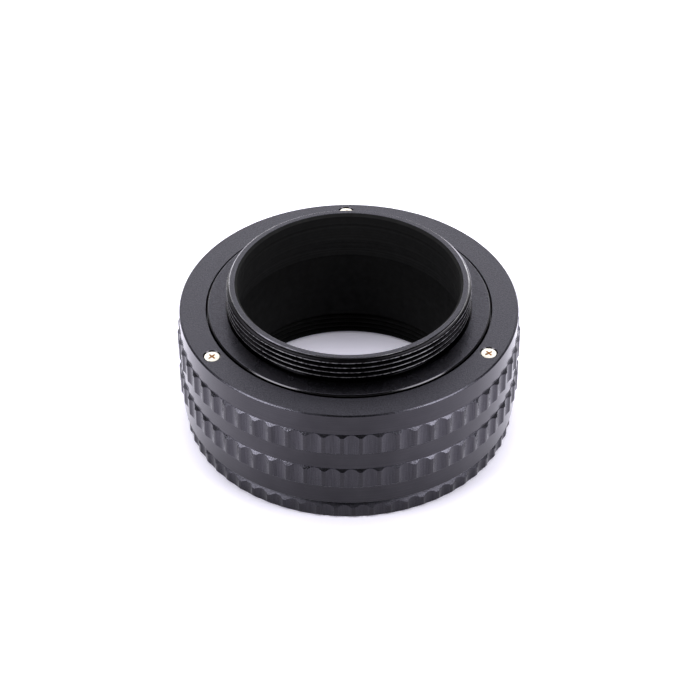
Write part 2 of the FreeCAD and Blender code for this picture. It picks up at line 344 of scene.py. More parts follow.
def turned_black_anodised_aluminium():
    """Glossier black: the lathe tool's rings show as faint streaks under the oxide on walls and tubes."""
    material, tree, shader = new_material("turned_black_anodised_aluminium")
    # Tool rings are about 0.05 mm apart; they are drawn at 0.2 mm so that they show.
    rings = tool_rings(tree, 0.2)
    bump = add(tree, "ShaderNodeBump", {"Height": rings, "Strength": 0.3, "Distance": 0.01 * MM})
    streaks = add(tree, "ShaderNodeMath", {0: rings, 1: mottled(tree, 5.0, 0.3, 1.0)}, operation="MULTIPLY")
    colour = add(tree, "ShaderNodeMix", {0: streaks.outputs[0], 6: linear("#333235"), 7: linear("#424144")},
                 data_type="RGBA")
    feed(shader, {"Base Color": colour.outputs[2], "Metallic": 1.0, "Normal": bump.outputs[0],
                  "Roughness": mottled(tree, 3.0, 0.14, 0.19)})
    return material


def milled_black_anodised_aluminium():
    """Black flutes: the cutter's fine marks run along them and blur their gloss more than tool rings do."""
    material, tree, shader = new_material("milled_black_anodised_aluminium")
    place = add(tree, "ShaderNodeTexCoord").outputs["Object"]
    along = add(tree, "ShaderNodeVectorMath", {0: place, 1: (1.0, 1.0, 0.04)}, operation="MULTIPLY")
    # Cutter marks are about 0.04 mm apart; they are drawn at 0.15 mm so that they show.
    marks = add(tree, "ShaderNodeTexNoise", {
        "Vector": along.outputs[0], "Scale": 1 / (0.15 * MM), "Detail": 1.0}).outputs["Fac"]
    bump = add(tree, "ShaderNodeBump", {"Height": marks, "Strength": 0.2, "Distance": 0.01 * MM})
    colour = add(tree, "ShaderNodeMix", {0: marks, 6: linear("#2f2e32"), 7: linear("#48474b")},
                 data_type="RGBA")
    feed(shader, {"Base Color": colour.outputs[2], "Metallic": 1.0, "Normal": bump.outputs[0],
                  "Roughness": mottled(tree, 2.0, 0.25, 0.3)})
    return material


def black_anodised_thread_with_rub_and_painted_highlight():
    """Glossy black flanks; broken lines of a light aluminium colour on the crests and the nose's edge stand
    for rubbing and also a painted highlight.
    """
    material, tree, shader = new_material("black_anodised_thread_with_rub_and_painted_highlight")
    radius, height = radius_and_height(tree)
    crest = add(tree, "ShaderNodeMapRange", {
        "Value": radius, "From Min": (thread_radius - CREST_RUB_AND_HIGHLIGHT) * MM, "From Max": thread_radius * MM})
    wear_and_highlight = add(tree, "ShaderNodeMath", {0: crest.outputs["Result"], 1: mottled(tree, 0.45, 0.05, 1.0)},
               operation="MULTIPLY")
    low, high = EDGE_RUB_AND_HIGHLIGHT
    edge = add(tree, "ShaderNodeMapRange", {
        "Value": height, "From Min": (nose_top - low) * MM, "From Max": (nose_top - high) * MM,
        "To Max": mottled(tree, 1.5, 0.4, 0.9)})
    bare_and_highlight = add(tree, "ShaderNodeMath", {0: wear_and_highlight.outputs[0], 1: edge.outputs["Result"]}, operation="MAXIMUM")
    # The light colour is rub marks and also a painted highlight on the crests and the nose's edge
    colour = add(tree, "ShaderNodeMix", {0: bare_and_highlight.outputs[0], 6: linear("#232225"), 7: linear("#9c9b9f")},
                 data_type="RGBA")
    rubbed = add(tree, "ShaderNodeMapRange", {"Value": wear_and_highlight.outputs[0], "To Min": 0.24, "To Max": 0.5})
    feed(shader, {"Base Color": colour.outputs[2], "Metallic": 1.0, "Roughness": rubbed.outputs["Result"]})
    return material


def flat_black_bore_paint_and_painted_shade():
    """Stray-light paint: matte black with a dry, pebbled skin, and greyer over the bore's upper rings; on
    the lens barrel's thread it is painted shade.
    """
    material, tree, shader = new_material("flat_black_bore_paint_and_painted_shade")
    height = radius_and_height(tree)[1]
    low, high = PAINT_GREYING
    greyed = add(tree, "ShaderNodeMapRange", {"Value": height, "From Min": low * MM, "From Max": high * MM})
    # The bore's tool rings are about 0.1 mm apart; they are drawn at 0.5 mm so that they show.
    ringed = add(tree, "ShaderNodeMath", {0: greyed.outputs["Result"], 1: tool_rings(tree, 0.5)},
                 operation="MULTIPLY")
    colour = add(tree, "ShaderNodeMix", {0: ringed.outputs[0], 6: linear("#060606"), 7: linear("#1d1d1e")},
                 data_type="RGBA")
    # Paint pebbles are about 0.1 mm; they are drawn at 0.3 mm so that they show.
    skin = mottled(tree, 0.3, 0.0, 1.0)
    bump = add(tree, "ShaderNodeBump", {"Height": skin, "Strength": 0.4, "Distance": 0.02 * MM})
    feed(shader, {"Base Color": colour.outputs[2], "Specular IOR Level": 0.15, "Normal": bump.outputs[0],
                  "Roughness": mottled(tree, 1.5, 0.7, 0.85)})
    return material


def plain_metal(name, colour, patch_mm, smoothest, roughest):
    """A metal of one colour whose polish varies in patches."""
    material, tree, shader = new_material(name)
    feed(shader, {"Base Color": linear(colour), "Metallic": 1.0,
                  "Roughness": mottled(tree, patch_mm, smoothest, roughest)})
    return material


def matte_white_sweep():
    """Matte white floor, lifted to white for the eye, with painted shade near the part; gloss also sees
    painted pools of light left and right on it.
    """
    material, tree, shader = new_material("matte_white_sweep")
    place = add(tree, "ShaderNodeTexCoord").outputs["Object"]
    across = add(tree, "ShaderNodeSeparateXYZ", {"Vector": place}).outputs["X"]
    sideways = add(tree, "ShaderNodeMath", {0: across}, operation="ABSOLUTE")
    # Painted pools of light: for gloss, the floor's lift grows from the middle towards the left and right
    painted_pool = add(tree, "ShaderNodeMapRange", {
        "Value": sideways.outputs[0], "From Min": PAINTED_POOL_REACH[0] * MM, "From Max": PAINTED_POOL_REACH[1] * MM,
        "To Min": PAINTED_POOL_LIFT[0], "To Max": PAINTED_POOL_LIFT[1]}, interpolation_type="SMOOTHSTEP")
    path = add(tree, "ShaderNodeLightPath").outputs
    gloss = add(tree, "ShaderNodeMath", {0: path["Is Glossy Ray"], 1: path["Is Transmission Ray"]},
                operation="MAXIMUM")
    gloss = add(tree, "ShaderNodeMath", {0: gloss.outputs[0], 1: painted_pool.outputs["Result"]},
                operation="MULTIPLY")
    far_off = add(tree, "ShaderNodeVectorMath", {0: place}, operation="LENGTH")
    for_eye = add(tree, "ShaderNodeMapRange", {
        "Value": far_off.outputs["Value"], "From Min": FLOOR_FADE[0] * MM, "From Max": FLOOR_FADE[1] * MM,
        "To Min": FLOOR_LIFT[0], "To Max": FLOOR_LIFT[1]})
    seen = add(tree, "ShaderNodeMath", {0: path["Is Camera Ray"], 1: for_eye.outputs["Result"],
                                        2: gloss.outputs[0]}, operation="MULTIPLY_ADD")
    # Painted shade: ambient occlusion darkens the floor's lift near the part and inside its bore
    painted_floor_shade = add(tree, "ShaderNodeAmbientOcclusion", {"Distance": FLOOR_SHADE_REACH * MM}, samples=8)
    lift = add(tree, "ShaderNodeMath", {0: seen.outputs[0], 1: painted_floor_shade.outputs["AO"]}, operation="MULTIPLY")
    feed(shader, {"Base Color": linear("#e8e6f0"), "Roughness": 0.9, "Specular IOR Level": 0.0,
                  "Emission Color": linear("#f1eeff"), "Emission Strength": lift.outputs[0]})
    return material


satin_black = blasted_black_anodised_aluminium("blasted_black_anodised_aluminium", 0.4)
fine_satin_black = blasted_black_anodised_aluminium("fine_blasted_black_anodised_aluminium", 0.26)
turned_black = turned_black_anodised_aluminium()
milled_black = milled_black_anodised_aluminium()
thread_rub_and_highlight = black_anodised_thread_with_rub_and_painted_highlight()
bore_paint_and_painted_shade = flat_black_bore_paint_and_painted_shade()
# Bright, slightly warm plating with faint wear in its polish
nickel = plain_metal("nickel_plated_steel", "#efe9df", 0.4, 0.3, 0.38)
# Dull, brownish steel: painted shade in the driver's recess
steel_with_painted_recess_shade = plain_metal("steel_recess_painted_shade", "#e0c6a8", 0.3, 0.4, 0.5)
# Warm yellow metal, dulled in patches where the milled strip was deburred
brass = plain_metal("milled_brass", "#d8b25c", 0.3, 0.25, 0.4)


# Meshes

def eased(corners):
    """Outline points from (radius, height, ease) corners; an eased corner is a short curve with supports."""
    points = []
    for i, (radius, height, ease) in enumerate(corners):
        corner = Vector((radius, height))
        if not ease:
            points.append(corner)
            continue
        before = Vector(corners[i - 1][:2]) - corner
        after = Vector(corners[(i + 1) % len(corners)][:2]) - corner
        start = before.normalized() * min(ease, EASE_LIMIT * before.length)
        end = after.normalized() * min(ease, EASE_LIMIT * after.length)
        points.append(corner + start * EASE_SUPPORT)
        for step in range(EASE_STEPS + 1):
            share = step / EASE_STEPS
            points.append(corner + start * (1 - share) ** 2 + end * share ** 2)
        points.append(corner + end * EASE_SUPPORT)
    return points


def loft(name, outlines, azimuths, closed, capped=False):
    """A mesh through closed outlines at azimuths round Z.

    Closed joins the last outline to the first, and capped fills both."""
    vertices = []
    for outline, azimuth in zip(outlines, azimuths):
        turn = math.radians(azimuth)
        vertices += [(r * MM * math.cos(turn), r * MM * math.sin(turn), z * MM) for r, z in outline]
    rows = len(outlines[0])
    faces = []
    for column in range(len(outlines) - (not closed)):
        here = column * rows
        there = (column + 1) % len(outlines) * rows
        for row in range(rows):
            above = (row + 1) % rows
            faces.append((here + row, there + row, there + above, here + above))
    if capped:
        faces.append(tuple(range(rows)))
        faces.append(tuple(reversed(range(len(vertices) - rows, len(vertices)))))
    mesh = bpy.data.meshes.new(name)
    mesh.from_pydata(vertices, [], faces)
    return mesh


def close_poles(mesh):
    """Welds the points that meet on the axis."""
    work = bmesh.new()
    work.from_mesh(mesh)
    bmesh.ops.remove_doubles(work, verts=work.verts, dist=POLE_WELD * MM)
    work.to_mesh(mesh)
    work.free()


def new_object(name, data):
    """An object in the scene for a mesh, a lamp or a camera."""
    made = bpy.data.objects.new(name, data)
    bpy.context.scene.collection.objects.link(made)
    return made


def turned(name, corners, segments=TURNED_SEGMENTS):
    """A ring turned about Z from its outline's corners, or a solid rod where they reach the axis."""
    outline = eased(corners)
    azimuths = [360 * i / segments for i in range(segments)]
    mesh = loft(name, [outline] * segments, azimuths, closed=True)
    close_poles(mesh)
    return new_object(name, mesh)


def rod(name, radius, bottom, top):
    """A plain rod on the Z axis, for cutting holes."""
    corners = [(0, bottom, 0), (radius, bottom, 0), (radius, top, 0), (0, top, 0)]
    return turned(name, corners, segments=ROD_SEGMENTS)


def block(name, corners):
    """A closed block from its lower and upper four corners, each counted anticlockwise from above."""
    mesh = bpy.data.meshes.new(name)
    mesh.from_pydata([Vector(corner) * MM for corner in corners], [], [
        (3, 2, 1, 0), (4, 5, 6, 7), (0, 1, 5, 4), (1, 2, 6, 5), (2, 3, 7, 6), (3, 0, 4, 7)])
    return new_object(name, mesh)


def radial_block(name, width, inner, outer, bottom, top, azimuth):
    """A block between two distances from the axis, turned to an azimuth."""
    half = width / 2
    around = [(inner, -half), (outer, -half), (outer, half), (inner, half)]
    made = block(name, [(x, y, z) for z in (bottom, top) for x, y in around])
    made.data.transform(Matrix.Rotation(math.radians(azimuth), 4, "Z"))
    return made


def keep_result(piece):
    """Replaces a piece's mesh by what its modifiers make of it."""
    evaluated = piece.evaluated_get(bpy.context.evaluated_depsgraph_get())
    mesh = bpy.data.meshes.new_from_object(evaluated)
    piece.modifiers.clear()
    piece.data = mesh
    return piece


def combine(piece, others, operation):
    """Adds other closed shapes to a piece or cuts them from it, and removes them."""
    for other in others:
        modifier = piece.modifiers.new("combine", "BOOLEAN")
        modifier.operation = operation
        modifier.solver = "MANIFOLD"
        modifier.material_mode = "TRANSFER"
        modifier.object = other
    keep_result(piece)
    for other in others:
        bpy.data.objects.remove(other)


def grown(piece, tree, values):
    """Runs a geometry tree on a piece with named input values and keeps the result as a plain mesh."""
    modifier = piece.modifiers.new(tree.name, "NODES")
    modifier.node_group = tree
    for item in tree.interface.items_tree:
        if item.in_out == "INPUT" and item.name in values:
            modifier[item.identifier] = values[item.name]
    return keep_result(piece)


def place_of(face):
    """Radius and height of a face's middle."""
    return face.center.xy.length / MM, face.center.z / MM


def coat(mesh, finish, wanted):
    """Gives a finish to the faces that a test picks out."""
    mesh.materials.append(finish)
    number = len(mesh.materials) - 1
    for face in mesh.polygons:
        if wanted(face):
            face.material_index = number


def coat_bore_paint_and_shade(mesh, widest, top):
    """Paints the faces within a radius of the axis and below a height."""
    def inside(face):
        radius, height = place_of(face)
        return radius < widest and height < top

    coat(mesh, bore_paint_and_painted_shade, inside)


def coat_near_screws(mesh, finish, reach, bottom, top):
    """Gives a finish to the faces within a distance of a plate screw's axis and between two heights."""
    def near(face):
        offset = min((face.center - centre).xy.length for centre in screw_centres)
        return offset < reach * MM and bottom < place_of(face)[1] < top

    coat(mesh, finish, near)


def finished(piece, body, nodes):
    """Shades a piece, and hangs it on its body in place of its solids."""
    mesh = piece.data
    mesh.polygons.foreach_set("use_smooth", [True] * len(mesh.polygons))
    mesh.set_sharp_from_angle(angle=SHARP_ANGLE)
    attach(piece, body)
    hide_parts(*nodes)


# Geometry trees

def geometry_tree(name, inputs):
    """A geometry tree with named inputs; gives the tree and its input sockets."""
    tree = bpy.data.node_groups.new(name, "GeometryNodeTree")
    tree.interface.new_socket("Geometry", in_out="INPUT", socket_type="NodeSocketGeometry")
    for label, kind in inputs.items():
        tree.interface.new_socket(label, in_out="INPUT", socket_type="NodeSocket" + kind)
    tree.interface.new_socket("Geometry", in_out="OUTPUT", socket_type="NodeSocketGeometry")
    return tree, add(tree, "NodeGroupInput").outputs


def even_turns(tree, count, first_turn):
    """A field of angles at even steps round Z."""
    index = add(tree, "GeometryNodeInputIndex").outputs[0]
    step = add(tree, "ShaderNodeMath", {0: math.tau, 1: count}, operation="DIVIDE")
    turn = add(tree, "ShaderNodeMath", {0: index, 1: step.outputs[0], 2: first_turn},
               operation="MULTIPLY_ADD")
    return turn.outputs[0]


def copies_on(tree, points, shape, turn):
    """Real copies of a shape on points, each turned about its own upright axis."""
    euler = add(tree, "ShaderNodeCombineXYZ", {"Z": turn})
    rotation = add(tree, "FunctionNodeEulerToRotation", {0: euler.outputs[0]})
    copies = add(tree, "GeometryNodeInstanceOnPoints", {
        "Points": points, "Instance": shape, "Rotation": rotation.outputs[0]})
    return add(tree, "GeometryNodeRealizeInstances", {0: copies.outputs[0]}).outputs[0]


def round_the_axis(tree, shape, count, first_turn):
    """Copies of a shape at even steps round Z."""
    points = add(tree, "GeometryNodePoints", {"Count": count})
    return copies_on(tree, points.outputs[0], shape, even_turns(tree, count, first_turn))


def end_tree(tree, shape, material):
    """Sets the material and closes the tree."""
    painted = add(tree, "GeometryNodeSetMaterial", {"Geometry": shape, "Material": material})
    add(tree, "NodeGroupOutput", {0: painted.outputs[0]})
    return tree


def fluted_ring_tree():
    """A ring welded from even copies of one fluted sector."""
    tree, given = geometry_tree("fluted_ring", {
        "Flutes": "Int", "First Turn": "Float", "Weld": "Float", "Finish": "Material"})
    ring = round_the_axis(tree, given["Geometry"], given["Flutes"], given["First Turn"])
    welded = add(tree, "GeometryNodeMergeByDistance", {"Geometry": ring, "Distance": given["Weld"]})
    return end_tree(tree, welded.outputs[0], given["Finish"])


def thread_tree():
    """Thread ridges along helices, chamfered at both ends."""
    tree, given = geometry_tree("helical_thread", {
        "Starts": "Int", "First Turn": "Float", "Turns": "Float", "Steps": "Int", "Rise": "Float",
        "Start Height": "Float", "Root Radius": "Float", "Crest Radius": "Float", "Side": "Float",
        "Root Width": "Float", "Crest Width": "Float", "Edge Radius": "Float", "Chamfer Bottom": "Float",
        "Chamfer Top": "Float", "Lowest": "Float", "Highest": "Float", "Finish": "Material"})
    side = given["Side"]

    # One ridge: a trapezoid with rounded edges, carried along a helix
    helix = add(tree, "GeometryNodeCurveSpiral", {
        "Resolution": given["Steps"], "Rotations": given["Turns"], "Start Radius": given["Root Radius"],
        "End Radius": given["Root Radius"], "Height": given["Rise"], "Reverse": True})
    upright = add(tree, "GeometryNodeSetCurveNormal", {"Curve": helix.outputs[0]}, mode="Z_UP")
    depth = add(tree, "ShaderNodeMath", {0: given["Crest Radius"], 1: given["Root Radius"]},
                operation="SUBTRACT")
    height = add(tree, "ShaderNodeMath", {0: depth.outputs[0]}, operation="ABSOLUTE")
    section = add(tree, "GeometryNodeCurvePrimitiveQuadrilateral", {
        "Height": height.outputs[0], "Bottom Width": given["Root Width"], "Top Width": given["Crest Width"],
        "Offset": 0.0}, mode="TRAPEZOID")
    section = add(tree, "GeometryNodeFilletCurve", {
        "Curve": section.outputs[0], "Radius": given["Edge Radius"], "Count": 2, "Limit Radius": True},
        mode="POLY")
    half = add(tree, "ShaderNodeMath", {0: depth.outputs[0], 1: 0.5}, operation="MULTIPLY")
    outward = add(tree, "ShaderNodeMath", {0: side, 1: -math.pi / 2}, operation="MULTIPLY")
    shift = add(tree, "ShaderNodeCombineXYZ", {"X": half.outputs[0]})
    turn = add(tree, "ShaderNodeCombineXYZ", {"Z": outward.outputs[0]})
    rotation = add(tree, "FunctionNodeEulerToRotation", {0: turn.outputs[0]})
    placed = add(tree, "GeometryNodeTransform", {
        "Geometry": section.outputs[0], "Translation": shift.outputs[0], "Rotation": rotation.outputs[0]})
    ridge = add(tree, "GeometryNodeCurveToMesh", {
        "Curve": upright.outputs[0], "Profile Curve": placed.outputs[0], "Fill Caps": True})
    lift = add(tree, "ShaderNodeCombineXYZ", {"Z": given["Start Height"]})
    raised = add(tree, "GeometryNodeTransform", {
        "Geometry": ridge.outputs[0], "Translation": lift.outputs[0]})
    starts = round_the_axis(tree, raised.outputs[0], given["Starts"], given["First Turn"])

    # Past either chamfer's start the crest loses as much radius as it gains height
    place = add(tree, "GeometryNodeInputPosition").outputs[0]
    split = add(tree, "ShaderNodeSeparateXYZ", {0: place})
    level = split.outputs["Z"]
    across = add(tree, "ShaderNodeCombineXYZ", {"X": split.outputs["X"], "Y": split.outputs["Y"]})
    radius = add(tree, "ShaderNodeVectorMath", {0: across.outputs[0]}, operation="LENGTH").outputs["Value"]
    above = add(tree, "ShaderNodeMath", {0: level, 1: given["Chamfer Top"]}, operation="SUBTRACT")
    below = add(tree, "ShaderNodeMath", {0: given["Chamfer Bottom"], 1: level}, operation="SUBTRACT")
    over = add(tree, "ShaderNodeMath", {0: above.outputs[0], 1: below.outputs[0]}, operation="MAXIMUM")
    over = add(tree, "ShaderNodeMath", {0: over.outputs[0], 1: 0.0}, operation="MAXIMUM")
    crest = add(tree, "ShaderNodeMath", {0: given["Crest Radius"], 1: side}, operation="MULTIPLY")
    limit = add(tree, "ShaderNodeMath", {0: crest.outputs[0], 1: over.outputs[0]}, operation="SUBTRACT")
    signed = add(tree, "ShaderNodeMath", {0: radius, 1: side}, operation="MULTIPLY")
    kept = add(tree, "ShaderNodeMath", {0: signed.outputs[0], 1: limit.outputs[0]}, operation="MINIMUM")
    kept = add(tree, "ShaderNodeMath", {0: kept.outputs[0], 1: side}, operation="MULTIPLY")
    share = add(tree, "ShaderNodeMath", {0: kept.outputs[0], 1: radius}, operation="DIVIDE")
    across = add(tree, "ShaderNodeVectorMath", {0: across.outputs[0], "Scale": share.outputs[0]},
                 operation="SCALE")
    height = add(tree, "ShaderNodeClamp", {"Value": level, "Min": given["Lowest"], "Max": given["Highest"]})
    upward = add(tree, "ShaderNodeCombineXYZ", {"Z": height.outputs[0]})
    target = add(tree, "ShaderNodeVectorMath", {0: across.outputs[0], 1: upward.outputs[0]}, operation="ADD")
    cut = add(tree, "GeometryNodeSetPosition", {"Geometry": starts, "Position": target.outputs[0]})
    return end_tree(tree, cut.outputs[0], given["Finish"])


def ring_of_screws_tree():
    """Even copies of one screw round the axis, each driven home at an angle of its own."""
    tree, given = geometry_tree("ring_of_screws", {
        "Screws": "Int", "First Turn": "Float", "Circle Radius": "Float", "Seed": "Int",
        "Finish": "Material"})
    turn = even_turns(tree, given["Screws"], given["First Turn"])
    along = [add(tree, "ShaderNodeMath", {0: turn}, operation=kind) for kind in ("COSINE", "SINE")]
    unit = add(tree, "ShaderNodeCombineXYZ", {"X": along[0].outputs[0], "Y": along[1].outputs[0]})
    place = add(tree, "ShaderNodeVectorMath", {0: unit.outputs[0], "Scale": given["Circle Radius"]},
                operation="SCALE")
    points = add(tree, "GeometryNodePoints", {"Count": given["Screws"], "Position": place.outputs[0]})
    driven = add(tree, "FunctionNodeRandomValue", {2: 0.0, 3: math.tau, "Seed": given["Seed"]},
                 data_type="FLOAT")
    screws = copies_on(tree, points.outputs[0], given["Geometry"], driven.outputs[1])
    return end_tree(tree, screws, given["Finish"])


fluted_ring = fluted_ring_tree()
helical_thread = thread_tree()
ring_of_screws = ring_of_screws_tree()


# Fluted rings

def flute_radius(crest_radius, depth, angle):
    """Radius of a fluted band at an angle from the middle of a flute, with the land's edges blended."""
    centre = crest_radius - depth + FLUTE_CUTTER_RADIUS
    sideways = centre * math.sin(math.radians(angle))
    if abs(sideways) >= FLUTE_CUTTER_RADIUS:
        return crest_radius
    scallop = centre * math.cos(math.radians(angle)) - math.sqrt(FLUTE_CUTTER_RADIUS ** 2 - sideways ** 2)
    blend = max(FLUTE_EDGE_BLEND - abs(crest_radius - scallop), 0) / FLUTE_EDGE_BLEND
    return min(crest_radius, scallop) - blend ** 2 * FLUTE_EDGE_BLEND / 4


def flute_edge(crest_radius, depth):
    """Angle from the middle of a flute to its edge."""
    centre = crest_radius - depth + FLUTE_CUTTER_RADIUS
    cosine = (crest_radius ** 2 + centre ** 2 - FLUTE_CUTTER_RADIUS ** 2) / (2 * crest_radius * centre)
    return math.degrees(math.acos(cosine))


def fluted_piece(name, outline_at, crest_radius, depth, first_azimuth, bands, slope_finish):
    """A ring with flutes in bands of height, from one sector that is copied round the axis.

    Its flutes are milled, and its slopes have a finish of their own."""
    edge = flute_edge(crest_radius, depth)
    pitch = 360 / FLUTE_COUNT
    half = [edge * step for step in FLUTE_STEPS] + [pitch / 2]
    angles = [-angle for angle in reversed(half)] + [0.0] + half
    outlines = [eased(outline_at(flute_radius(crest_radius, depth, angle))) for angle in angles]
    sector = new_object(name, loft(name, outlines, angles, closed=False))
    sector.data.materials.append(turned_black)
    ring = grown(sector, fluted_ring, {"Flutes": FLUTE_COUNT, "First Turn": math.radians(first_azimuth),
                                       "Weld": FLUTE_WELD * MM, "Finish": turned_black})

    def sloping(face):
        return abs(face.normal.z) > SLOPE_LIMIT

    def in_flute(face):
        radius, height = place_of(face)
        azimuth = math.degrees(math.atan2(face.center.y, face.center.x))
        off_flute = abs((azimuth - first_azimuth + pitch / 2) % pitch - pitch / 2)
        outside = radius > crest_radius - depth - FLUTE_MARGIN
        in_band = any(low < height < high for low, high in bands)
        return outside and in_band and off_flute < edge and not sloping(face)

    coat(ring.data, slope_finish, sloping)
    coat(ring.data, milled_black, in_flute)
    return ring


def raised_band(bottom, top, radius):
    """Corners of one raised band of the grip, chamfered at both ends."""
    chamfer = abs(radius - grip_radius)
    return [(grip_radius, bottom, FINE_EASE), (radius, bottom + chamfer, FINE_EASE),
            (radius, top - chamfer, FINE_EASE), (grip_radius, top, FINE_EASE)]


def grip_outline(radius):
    """The grip's section where its fluted bands have a given radius."""
    return [
        (grip_bore_radius, grip_bottom, FINE_EASE),
        (grip_radius, grip_bottom, EDGE_BREAK),
        *[corner for bottom, top in grip_bands for corner in raised_band(bottom, top, radius)],
        (grip_radius, plate_top - LIP_CHAMFER, FINE_EASE),
        (grip_radius - LIP_CHAMFER, plate_top, 0),
        (recess_radius, plate_top, 0),
        (recess_radius, plate_bottom, 0),
        (pocket_radius, plate_bottom, 0),
        (pocket_radius, LEDGE_TOP, 0),
        (LEDGE_INNER_RADIUS, LEDGE_TOP, 0),
        (LEDGE_INNER_RADIUS, LEDGE_BOTTOM, 0),
        (grip_bore_radius, LEDGE_BOTTOM, 0),
    ]


def base_outline(radius):
    """The base ring's section where its fluted band has a given radius."""
    return [
        (thread_radius + BASE_INNER_STEP, stand_height, FINE_EASE),
        (base_foot_radius, stand_height, FINE_EASE),
        (radius, stand_height + radius - base_foot_radius, FINE_EASE),
        (radius, BASE_STRAIGHT_HEIGHT + base_radius - radius, FINE_EASE),
        (base_radius - BASE_CHAMFER, base_height, FINE_EASE),
        (GUIDE_BORE_RADIUS, base_height, 0),
        (thread_radius, base_height - BASE_INNER_STEP, 0),
        (thread_radius, stand_height + BASE_INNER_STEP, 0),
    ]


# Pieces

def countersunk_holes():
    """Cutters for the plate's screw holes, with their mouths on the plate's face."""
    bottom = plate_top - SCREW_LENGTH - SCREW_HOLE_SPARE
    cutters = []
    for centre in screw_centres:
        hole = turned("screw_hole", [
            (0, bottom, 0),
            (SCREW_SHANK_RADIUS, bottom, 0),
            (SCREW_SHANK_RADIUS, plate_top - COUNTERSINK_RADIUS + SCREW_SHANK_RADIUS, 0),
            (COUNTERSINK_RADIUS + COUNTERSINK_SPARE, plate_top + COUNTERSINK_SPARE, 0),
            (0, plate_top + COUNTERSINK_SPARE, 0),
        ], segments=SCREW_SEGMENTS)
        hole.data.transform(Matrix.Translation(centre))
        cutters.append(hole)
    return cutters


def focus_grip():
    """The fluted grip with the shoulder's pocket and the plate's recess inside."""
    grip = fluted_piece("fluted_focus_grip", grip_outline, land_radius, GRIP_FLUTE_DEPTH, GRIP_FLUTE_AZIMUTH,
                        grip_bands, fine_satin_black)
    pin_seat = rod("pin_seat", STOP_PIN_RADIUS, LEDGE_TOP - STOP_PIN_SEAT_DEPTH, LEDGE_TOP + CUTTER_SPARE)
    pin_turn = Matrix.Rotation(math.radians(STOP_PIN_AZIMUTH), 4, "Z")
    pin_seat.data.transform(pin_turn @ Matrix.Translation((stop_pin_circle_radius * MM, 0, 0)))
    combine(grip, countersunk_holes() + [pin_seat], "DIFFERENCE")
    finished(grip, "grip", ["focus_grip"])


def retaining_plate():
    """The flat ring that closes the grip, seated but for a hairline."""
    rim = recess_radius - PLATE_SEAM
    plate = turned("retaining_ring_plate", [
        (PLATE_INNER_RADIUS, plate_bottom, 0), (rim, plate_bottom, 0),
        (rim, plate_top, FINE_EASE), (PLATE_INNER_RADIUS, plate_top, EDGE_BREAK)])
    plate.data.materials.append(satin_black)
    combine(plate, countersunk_holes(), "DIFFERENCE")
    coat_near_screws(plate.data, turned_black, COUNTERSINK_RADIUS, plate_bottom, plate_top - FACE_MARGIN)
    finished(plate, "grip", ["retaining_plate"])


def cross_recess(head_top):
    """Cutters for the two tapered slots of a screw's cross recess."""
    ends = ((head_top - RECESS_DEPTH, RECESS_FLOOR), (head_top + CUTTER_SPARE, RECESS_MOUTH))
    across = []
    for z, (length, width) in ends:
        across += [(-length, -width, z), (length, -width, z), (length, width, z), (-length, width, z)]
    along = [(-y, x, z) for x, y, z in across]
    return [block("wing_across", across), block("wing_along", along)]


def plate_screws():
    """Three countersunk cross-head screws."""
    head_top = plate_top - SCREW_SINK
    rim_bottom = head_top - SCREW_HEAD_RIM
    shank = SCREW_SHANK_RADIUS - SCREW_SHANK_FIT
    out, down = SCREW_CROWN_SHOULDER
    screw = turned("plate_screws", [
        (0, head_top - SCREW_LENGTH, 0),
        (shank, head_top - SCREW_LENGTH, FINE_EASE),
        (shank, rim_bottom - SCREW_HEAD_RADIUS + SCREW_SHANK_RADIUS, FINE_EASE),
        (SCREW_HEAD_RADIUS, rim_bottom, SMALL_EASE),
        (SCREW_HEAD_RADIUS, head_top - SCREW_CROWN, SMALL_EASE),
        (SCREW_HEAD_RADIUS * out, head_top - SCREW_CROWN * down, SCREW_CROWN_EASE),
        (0, head_top, 0),
    ], segments=SCREW_SEGMENTS)
    screw.data.materials.append(nickel)
    combine(screw, cross_recess(head_top), "DIFFERENCE")
    grown(screw, ring_of_screws, {
        "Screws": SCREW_COUNT, "First Turn": math.radians(FIRST_SCREW_AZIMUTH),
        "Circle Radius": SCREW_CIRCLE_RADIUS * MM, "Seed": SCREW_TURN_SEED, "Finish": nickel})
    # Painted shade: the inner part of each cross recess is given the brownish steel
    coat_near_screws(screw.data, steel_with_painted_recess_shade, RECESS_SHADE_SHARE * SCREW_HEAD_RADIUS,
                     head_top - RECESS_DEPTH - FACE_MARGIN, head_top - RECESS_SHADE_DEPTH)
    finished(screw, "grip", [f"plate_screw_{n + 1}" for n in range(SCREW_COUNT)])


def thread_ridges(name, lead, form, sizes):
    """Helical ridges of a form and a lead; lengths are in millimetres."""
    values = {**form, **sizes, "Rise": form["Turns"] * lead}
    for key in ("Rise", "Start Height", "Root Radius", "Crest Radius", "Root Width", "Crest Width",
                "Edge Radius", "Chamfer Bottom", "Chamfer Top", "Lowest", "Highest"):
        values[key] *= MM
    return grown(new_object(name, bpy.data.meshes.new(name)), helical_thread, values)


def stop_groove():
    """Cutter for the arc under the shoulder that the stop pin runs in."""
    outer = shoulder_radius + TURNING_CLEARANCE
    inner = stop_pin_circle_radius - STOP_PIN_RADIUS - TURNING_CLEARANCE
    bottom, top = SHOULDER_BOTTOM - CUTTER_SPARE, SHOULDER_BOTTOM + STOP_GROOVE_DEPTH
    outline = [(inner, bottom), (outer, bottom), (outer, top), (inner, top)]
    spare = math.degrees((STOP_PIN_RADIUS + TURNING_CLEARANCE) / stop_pin_circle_radius)
    turn = (FOCUS_TURN + 2 * spare) / STOP_GROOVE_STEPS
    azimuths = [STOP_PIN_AZIMUTH - spare + turn * i for i in range(STOP_GROOVE_STEPS + 1)]
    mesh = loft("stop_groove", [outline] * len(azimuths), azimuths, closed=False, capped=True)
    return new_object("stop_groove", mesh)


